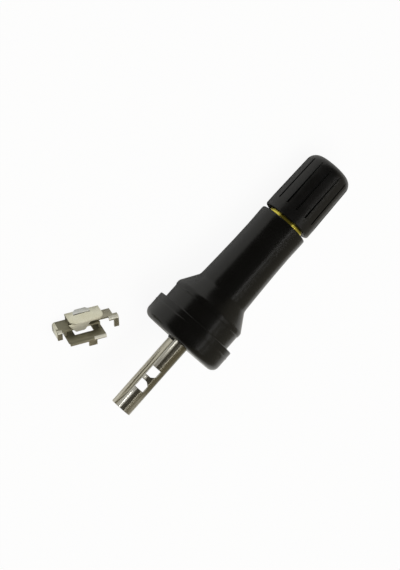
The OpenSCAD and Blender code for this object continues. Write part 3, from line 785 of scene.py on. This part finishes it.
tube = {
    "radius": 2.25,
    "wall": 0.4,
    "tail": -22.6,
    "face": -5.3,
    "top": -0.3,
    # Windows in the near and in the far wall: width, rows, and how much they
    # flare towards each other on their right side
    "windowTurn": -27,
    "windowWide": 2.2,
    "farWide": 3.0,
    "windowRows": ((-14.2, -12), (-17.45, -15.25)),
    "flareWide": 1.2,
    "flareLong": 0.85,
    # The seam, its slanting sides in degrees, and its place on the inner wall
    "seamTurn": -64,
    "seamWide": 0.12,
    "seamDeep": 0.2,
    "seamSide": 0.15,
    "seamInside": (-10, -7),
    # How far the seam bends away at the tail, and from how far off
    "bendWide": 0.55,
    "bendLong": 3.4,
    "bendRows": 12,
    "endRound": 0.04,
    "windowRound": 0.03,
    # How sharply the seam bends and the windows flare
    "curve": 1.5,
    # Columns of the mesh in the seam's three stretches, up to the near windows,
    # across them, up to the far ones, across them and back to the seam
    "columns": (1, 12, 1, 3, 24, 44, 34, 40),
}


def tubeTurns(z, inner):
    # Angles of the tube's columns in one row: they follow the seam, which bends
    # away at the tail, and the sides of the windows.
    s = tube
    radius = s["radius"] - (s["wall"] if inner else 0)
    nearHalf = math.degrees(math.asin(s["windowWide"] / 2 / radius))
    farHalf = math.degrees(math.asin(s["farWide"] / 2 / radius))
    bend = max(0, s["tail"] + s["bendLong"] - z) / s["bendLong"]
    seam = s["seamTurn"] - math.degrees(s["bendWide"] * bend ** s["curve"] / radius)
    half = math.degrees(s["seamWide"] / 2 / radius) * (1 + bend)
    left, right = seam - half, seam + half
    if inner:
        left, right = (s["seamTurn"] + turn for turn in s["seamInside"])
    back = s["windowTurn"] + 180
    stops = [left, left + s["seamSide"], right - s["seamSide"], right]
    stops += [s["windowTurn"] - nearHalf, s["windowTurn"] + nearHalf]
    stops += [back - farHalf, back + farHalf, left + 360]
    turns = []
    for start, end, count in zip(stops, stops[1:], s["columns"]):
        turns += [start + (end - start) * i / count for i in range(count)]
    return turns


def makeSensorTube():
    s = tube
    outer, inner = s["radius"], s["radius"] - s["wall"]
    tail, top, endRound = s["tail"], s["top"], s["endRound"]
    upper, lower = s["windowRows"]
    rows = [tail + endRound]
    rows += [tail + s["bendLong"] * i / s["bendRows"] for i in range(1, s["bendRows"] + 1)]
    rows += [*lower, *upper, s["face"], top - endRound]
    outline = [(outer - endRound, tail)] + [(outer, z) for z in rows] + [(outer - endRound, top)]
    outline += [(inner + endRound, top)] + [(inner, z) for z in reversed(rows)] + [(inner + endRound, tail)]
    sides = sum(s["columns"])
    piece = turnOnLathe("sensorTube", outline, sides, True)

    # Each window is opened in both walls, and its edges are bridged.
    step = 360 / sides
    nearFrom = sum(s["columns"][:4])
    nearTo = nearFrom + s["columns"][4]
    farFrom = nearTo + s["columns"][5]
    farTo = farFrom + s["columns"][6]

    def columnOf(co):
        return int((math.degrees(math.atan2(co.y, co.x)) % 360) // step)

    def inWindow(co, window):
        first, last, low, high = window
        return first <= columnOf(co) <= last and low - close < co.z < high + close

    bpy.ops.object.mode_set(mode="EDIT")
    bpy.ops.mesh.select_mode(type="VERT")
    windows = [(a, b, *row) for a, b in ((nearFrom, nearTo), (farFrom, farTo)) for row in s["windowRows"]]
    for window in windows:
        selectPoints(piece, lambda co: inWindow(co, window))
        bpy.ops.mesh.delete(type="ONLY_FACE")
        bpy.ops.mesh.select_all(action="DESELECT")
        mesh = bmesh.from_edit_mesh(piece.data)
        for edge in list(mesh.edges):
            if not edge.link_faces:
                mesh.edges.remove(edge)
        for edge in mesh.edges:
            edge.select_set(edge.is_boundary)
        bmesh.update_edit_mesh(piece.data)
        bpy.ops.mesh.select_mode(type="EDGE")
        bpy.ops.mesh.bridge_edge_loops()
        bpy.ops.mesh.region_to_loop()
        bpy.ops.transform.edge_bevelweight(value=1)
        bpy.ops.mesh.select_mode(type="VERT")
    bpy.ops.mesh.delete_loose()
    bpy.ops.object.mode_set(mode="OBJECT")

    # The columns slide to the seam and to the sides of the windows.
    deepFrom = s["columns"][0]
    deepTo = deepFrom + s["columns"][1]
    flareFrom = s["windowWide"] / 2 - s["flareWide"]
    for vert in piece.data.vertices:
        radius = vert.co.xy.length
        inside = radius < (outer + inner) / 2
        column = columnOf(vert.co)
        turn = math.radians(tubeTurns(vert.co.z, inside)[column])
        if not inside and deepFrom <= column <= deepTo:
            radius -= s["seamDeep"]
        if nearFrom <= column <= nearTo:
            across = radius * math.sin(turn - math.radians(s["windowTurn"]))
            lift = s["flareLong"] * (max(0, across - flareFrom) / s["flareWide"]) ** s["curve"]
            if abs(vert.co.z - upper[0]) < close:
                vert.co.z += lift
            elif abs(vert.co.z - lower[1]) < close:
                vert.co.z -= lift
        vert.co.xy = radius * math.cos(turn), radius * math.sin(turn)
    bevel = piece.modifiers.new("WindowEdges", "BEVEL")
    bevel.width = s["windowRound"]
    bevel.segments = 2
    bevel.limit_method = "WEIGHT"
    applyModifiers(piece)
    layOnFloor(piece, valvePlace)
    finishPiece(piece, "sensor_tube", "valve", platedSheet, sharpAngle=40)


# Places on the clip are those of the flat clip: x along its strip, -y to the
# front and z up.
clip = {
    "edgeRound": 0.06,
    # Top of the folded tab, and how far its points fall at each place along y
    "tabTop": 1.5,
    "tabFall": ((-0.35, 0.13), (-0.85, 0.22)),
    # Left side of the lower frame, whose front corner is pushed in: from where
    # along y, and by how much more
    "frameSide": 1.5,
    "frameTop": -1.2,
    "cornerCut": ((-5.8, 0.2), (-6.0, 0.25), (-6.2, 0.3)),
    "lipHighlightFrom": 6.7,
    # The first zone that a face's middle lies in says how much painted light it takes,
    # from 0, dark painted shade, up to pale painted highlight: two corners, the value,
    # and a direction with the least share of it that a face looks in to have another
    # value, a paler painted highlight. Any other face is 0.
    "zones": (
        # Folded tab and left end wall
        ((-far, -far, 1.2), (far, far, far), 1),
        ((-far, -3.12, -far), (0.55, far, far), 0.85),
        # Bridge and tongue
        ((-far, -far, 0.75), (far, far, far), 0.7, ((0, 0, 1), 0.6, 0.85)),
        ((2.5, -3.9, -0.7), (7, -3.4, far), 0.7, ((0, 0, 1), 0.6, 0.85)),
        # Left hook and right hook, each with its bend first
        ((-far, -far, -0.6), (1.05, -2.97, far), 0.4, ((0, 0, 1), 0.2, 0.92)),
        ((-far, -far, -far), (1.05, -2.97, far), 0.4),
        ((11, -far, -0.6), (far, -2.6, far), 0.4, ((0, 0, 1), 0.2, 0.92)),
        ((11, -far, -far), (far, -2.6, far), 0.4),
        # Tab and right half of the frame's front lip, and the arm
        ((-far, -far, -far), (far, -5.7, -2.03), 0.5),
        ((6.7, -far, -far), (far, -5.7, -1.32), 0, ((0, -1, 0), 0.4, 0.92)),
        ((9.2, -far, -0.5), (far, far, far), 0.4),
    ),
}


def paintedLightOf(co, normal):
    # How much painted light a face of the clip takes, by its place on the flat clip and the way it looks
    for low, high, value, *brighter in clip["zones"]:
        if all(a < c < b for a, c, b in zip(low, co, high)):
            for direction, least, shown in brighter:
                if normal.dot(Vector(direction)) > least:
                    return shown
            return value
    return 0


def makeRetainingClip():
    piece = copyNode("retainingClip", "retaining_clip")
    flat, turn = clipPlace.inverted(), clipPlace.to_3x3()

    def onTab(co, y):
        spot = flat @ co * 1000
        return abs(spot.z - clip["tabTop"]) < near and abs(spot.y - y) < near

    def onCorner(co, y):
        spot = flat @ co * 1000
        return abs(spot.x - clip["frameSide"]) < near and spot.y < y and spot.z < clip["frameTop"]

    # The folded tab is pressed down on the bridge, the more the nearer to its
    # front edge, and the frame's front left corner is pushed in.
    bpy.ops.object.mode_set(mode="EDIT")
    for y, fall in clip["tabFall"]:
        selectPoints(piece, lambda co: onTab(co, y))
        bpy.ops.transform.translate(value=turn @ Vector((0, 0, -fall / 1000)))
    for y, shift in clip["cornerCut"]:
        selectPoints(piece, lambda co: onCorner(co, y))
        bpy.ops.transform.translate(value=turn @ Vector((shift / 1000, 0, 0)))
    bpy.ops.object.mode_set(mode="OBJECT")
    bevel = piece.modifiers.new("Edges", "BEVEL")
    bevel.width = clip["edgeRound"] / 1000
    bevel.segments = 2
    bevel.limit_method = "ANGLE"
    bevel.angle_limit = math.radians(30)
    applyModifiers(piece)

    # The sheet is cut across where the painted highlight on its front lip starts.
    bpy.ops.object.mode_set(mode="EDIT")
    bpy.ops.mesh.select_all(action="SELECT")
    middle = clipPlace @ Vector((clip["lipHighlightFrom"] / 1000, 0, 0))
    bpy.ops.mesh.bisect(plane_co=middle, plane_no=turn @ Vector((1, 0, 0)))
    bpy.ops.object.mode_set(mode="OBJECT")
    # Each face's painted highlight or shade is kept as an attribute of the sheet.
    rubbed = piece.data.attributes.new("rubbed", "FLOAT", "FACE")
    for face in piece.data.polygons:
        value = paintedLightOf(flat @ face.center * 1000, turn.inverted() @ face.normal)
        rubbed.data[face.index].value = value
    finishPiece(piece, "retaining_clip", "valve", springSheet)


def makeCoreSpring():
    piece = copyNode("coreSpring", "core_spring")
    finishPiece(piece, "core_spring", "valve", groundSteel, sharpAngle=60)
    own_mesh(piece)


makeRubberBody()
makeBrassStem()
makeCapShell()
makeSensorTube()
makeRetainingClip()
makeCoreSpring()

# The rest of the valve core and the cap's seal keep their solids, with real finishes.
inside = {
    "core_plug": turnedBrass,
    "core_barrel": turnedBrass,
    "core_cup": turnedBrass,
    "core_gasket": whitePtfe,
    "core_pin": groundSteel,
    "core_cup_seal": mattNitrile,
    "cap_seal": mattNitrile,
}
for node, material in inside.items():
    nodes[node].data.materials.clear()
    nodes[node].data.materials.append(material)
print("valve core finished")

# Sizes of the studio and of its lamps are in metres.
studio = {
    "floorSize": 1.6,
    "floorColour": "#f4f4f2",
    "floorWhite": 0.93,
    # Light from overhead and from the warm wall behind, and the Y of the directions
    # between which the one turns into the other
    "overhead": 0.06,
    "backWall": 0.3,
    "wallFrom": -0.05,
    "wallTo": 0.35,
    "wallColour": "#fff6dc",
    "fillHeight": 1,
    "fillSize": 1.2,
    "fillPower": 9,
    "lampDistance": 0.5,
}


def makeFloor():
    takeUp(None)
    bpy.ops.mesh.primitive_plane_add(size=studio["floorSize"], location=(0, 0, 0))
    floor = bpy.context.object
    floor.name = "studioFloor"
    material, tree, surface = newMaterial("whitePaper", {"Roughness": 0.9, "Specular IOR Level": 0.1})
    surface.inputs["Base Color"].default_value = linear(studio["floorColour"])
    out = tree.nodes["Material Output"]
    ray = addNode(tree, "ShaderNodeLightPath")
    seen = addNode(tree, "ShaderNodeMath", {"operation": "MAXIMUM"}, {
        0: (ray, "Is Camera Ray"), 1: (ray, "Is Transmission Ray"),
    })
    share = addNode(tree, "ShaderNodeMath", {"operation": "MULTIPLY"}, {
        0: (seen, 0), 1: studio["floorWhite"],
    })
    glow = addNode(tree, "ShaderNodeEmission", {}, {"Color": (1, 1, 1, 1), "Strength": 1.0})
    blend = addNode(tree, "ShaderNodeMixShader", {}, {0: (share, 0), 1: (surface, 0), 2: (glow, 0)})
    tree.links.new(blend.outputs[0], out.inputs["Surface"])
    floor.data.materials.append(material)


def makeWorld():
    world = bpy.data.worlds.new("studioWorld")
    bpy.context.scene.world = world
    world.use_nodes = True
    tree = world.node_tree
    tree.nodes.clear()
    ray = addNode(tree, "ShaderNodeLightPath")
    direction = addNode(tree, "ShaderNodeTexCoord")
    parts = addNode(tree, "ShaderNodeSeparateXYZ", {}, {"Vector": (direction, "Generated")})
    light = addNode(tree, "ShaderNodeMapRange", {}, {
        "Value": (parts, "Y"), "From Min": studio["wallFrom"], "From Max": studio["wallTo"],
        "To Min": studio["overhead"], "To Max": studio["backWall"],
    })
    dim = addNode(tree, "ShaderNodeBackground", {}, {
        "Color": linear(studio["wallColour"]), "Strength": (light, 0),
    })
    white = addNode(tree, "ShaderNodeBackground", {}, {"Color": (1, 1, 1, 1), "Strength": 1})
    blend = addNode(tree, "ShaderNodeMixShader", {}, {
        0: (ray, "Is Camera Ray"), 1: (dim, 0), 2: (white, 0),
    })
    out = addNode(tree, "ShaderNodeOutputWorld")
    tree.links.new(blend.outputs[0], out.inputs["Surface"])


# The camera looks down on the lying valve as the photograph does.
view = {
    "location": (-4.5933, -175.2111, 248.7493),
    "turn": (-28.06008, -23.50816, 140.50717),
    "lens": 94.7368,
    "sensorHeight": 36,
    "nearest": 10,
    "farthest": 20000,
}
cameraTurn = Euler([math.radians(angle) for angle in view["turn"]]).to_matrix()


def makeCamera():
    data = bpy.data.cameras.new("photoCamera")
    camera = bpy.data.objects.new("photoCamera", data)
    bpy.context.scene.collection.objects.link(camera)
    camera.matrix_world = Matrix.Translation(Vector(view["location"]) / 1000) @ cameraTurn.to_4x4()
    data.sensor_fit = "VERTICAL"
    data.sensor_height = view["sensorHeight"]
    data.lens = view["lens"]
    data.clip_start = view["nearest"] / 1000
    data.clip_end = view["farthest"] / 1000
    bpy.context.scene.camera = camera


# Lamps stand round the valve's axis: turn is the angle from the camera's
# direction, positive to the right of the picture, and along is towards the cap.
back = cameraTurn @ Vector((0, 0, 1))
toCamera = (back - axis * back.dot(axis)).normalized()
toRight = toCamera.cross(axis) * -1
lamps = {
    "stripRight": {"turn": 47, "along": 0, "size": (0.025, 0.6), "power": 0.12},
    "tubeGlint": {
        "turn": -23, "along": -0.0365, "size": (0.04, 0.048), "power": 0.18, "only": "sensorTube",
    },
    "stripThin": {"turn": 64, "along": 0, "size": (0.006, 0.6), "power": 0.04},
}


def makeLamp(name, s):
    data = bpy.data.lights.new(name, "AREA")
    data.shape = "RECTANGLE"
    data.size, data.size_y = s["size"]
    data.energy = s["power"]
    lamp = bpy.data.objects.new(name, data)
    bpy.context.scene.collection.objects.link(lamp)
    angle = math.radians(s["turn"])
    outward = toCamera * math.cos(angle) + toRight * math.sin(angle)
    side = axis.cross(outward)
    turn = Matrix((side, axis, outward)).transposed().to_4x4()
    lamp.matrix_world = Matrix.Translation(outward * studio["lampDistance"] + axis * s["along"]) @ turn
    if "only" in s:
        # Only this piece catches the lamp.
        caught = bpy.data.collections.new(name + "Only")
        caught.objects.link(bpy.data.objects[s["only"]])
        lamp.light_linking.receiver_collection = caught


def makeFill():
    # A wide lamp above lights the floor evenly; the part's finishes don't mirror it.
    data = bpy.data.lights.new("overheadFill", "AREA")
    data.size = studio["fillSize"]
    data.energy = studio["fillPower"]
    lamp = bpy.data.objects.new("overheadFill", data)
    bpy.context.scene.collection.objects.link(lamp)
    lamp.location = (0, 0, studio["fillHeight"])
    lamp.visible_glossy = False


makeFloor()
makeFill()
makeWorld()
makeCamera()
for name, settings in lamps.items():
    makeLamp(name, settings)
print("studio ready")

bpy.context.scene.view_settings.view_transform = "Standard"
